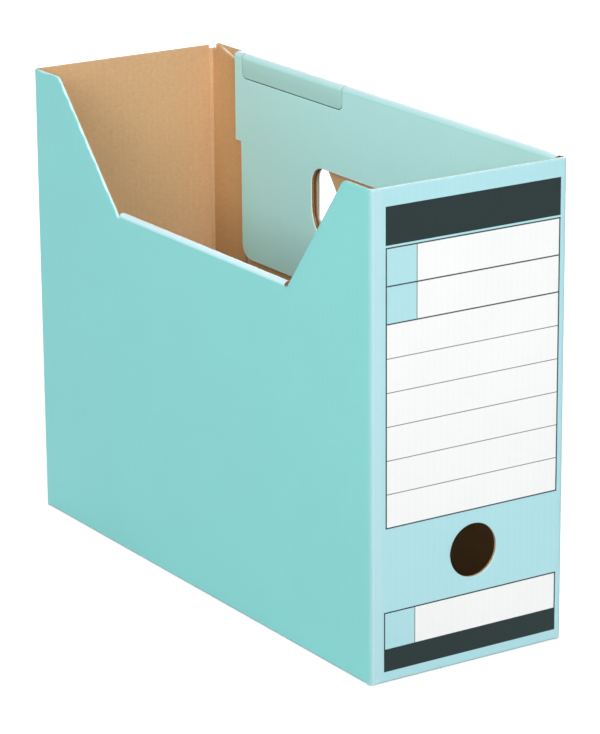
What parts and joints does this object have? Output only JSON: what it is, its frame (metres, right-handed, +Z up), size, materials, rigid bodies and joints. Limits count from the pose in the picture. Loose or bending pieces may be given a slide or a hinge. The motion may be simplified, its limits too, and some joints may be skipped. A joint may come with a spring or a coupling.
{
  "type": "file box",
  "caption": "Upright corrugated board file box with a sloping pick-out notch, a hinged lid folded inside, a hand hole and a finger hole in the label panel.",
  "frame": {"origin": "bottom centre of the box, on the surface it stands on", "axes": "+Z up, the label panel faces -Y, the notched wall is at -X and the wall with the lid is at +X"},
  "size_m": [0.102, 0.287, 0.221],
  "materials": {
    "printed_board": "thin corrugated board, printed turquoise outside and plain kraft inside, satin ink",
    "kraft_board": "thin corrugated board, plain brown kraft, matt"
  },
  "bodies": {
    "box": {"front_panel": "printed_board", "left_wall": "printed_board", "rear_panel": "printed_board", "right_wall": "printed_board", "glue_flap": "kraft_board", "front_left_fold": "printed_board", "front_right_fold": "printed_board", "rear_left_fold": "printed_board", "rear_right_fold": "printed_board", "notch_flap_fold": "printed_board", "lid_fold_rear": "printed_board", "lid_fold_front": "printed_board", "index_tab_fold": "printed_board", "left_base_fold": "printed_board", "right_base_fold": "printed_board", "front_base_fold": "printed_board", "rear_base_fold": "printed_board", "left_base_flap": "printed_board", "right_base_flap": "printed_board", "front_base_flap": "printed_board", "rear_base_flap": "printed_board", "front_glue_corner": "printed_board", "rear_glue_corner": "printed_board"},
    "lid": {"lid": "printed_board"},
    "index_tab": {"index_tab": "printed_board"},
    "notch_flap": {"notch_flap": "printed_board"},
    "grip_flap": {"grip_flap": "printed_board"}
  },
  "joints": [
    {"name": "lid_crease", "type": "hinge", "parent": "box", "child": "lid", "pos_m": [0.0484, 0, 0.2184], "axis": [0, 1, 0], "range_deg": [0, 179], "deforming": ["lid_fold_rear", "lid_fold_front"]},
    {"name": "index_tab_crease", "type": "hinge", "parent": "box", "child": "index_tab", "pos_m": [0.0484, 0, 0.2184], "axis": [0, 1, 0], "range_deg": [0, 179], "deforming": ["index_tab_fold"]},
    {"name": "notch_flap_crease", "type": "hinge", "parent": "box", "child": "notch_flap", "pos_m": [-0.049, 0, 0.1635], "axis": [0, -1, 0], "range_deg": [0, 179], "deforming": ["notch_flap_fold"]},
    {"name": "grip_flap_crease", "type": "hinge", "parent": "box", "child": "grip_flap", "pos_m": [0.0494, 0, 0.177], "axis": [0, 1, 0], "range_deg": [0, 90]}
  ]
}
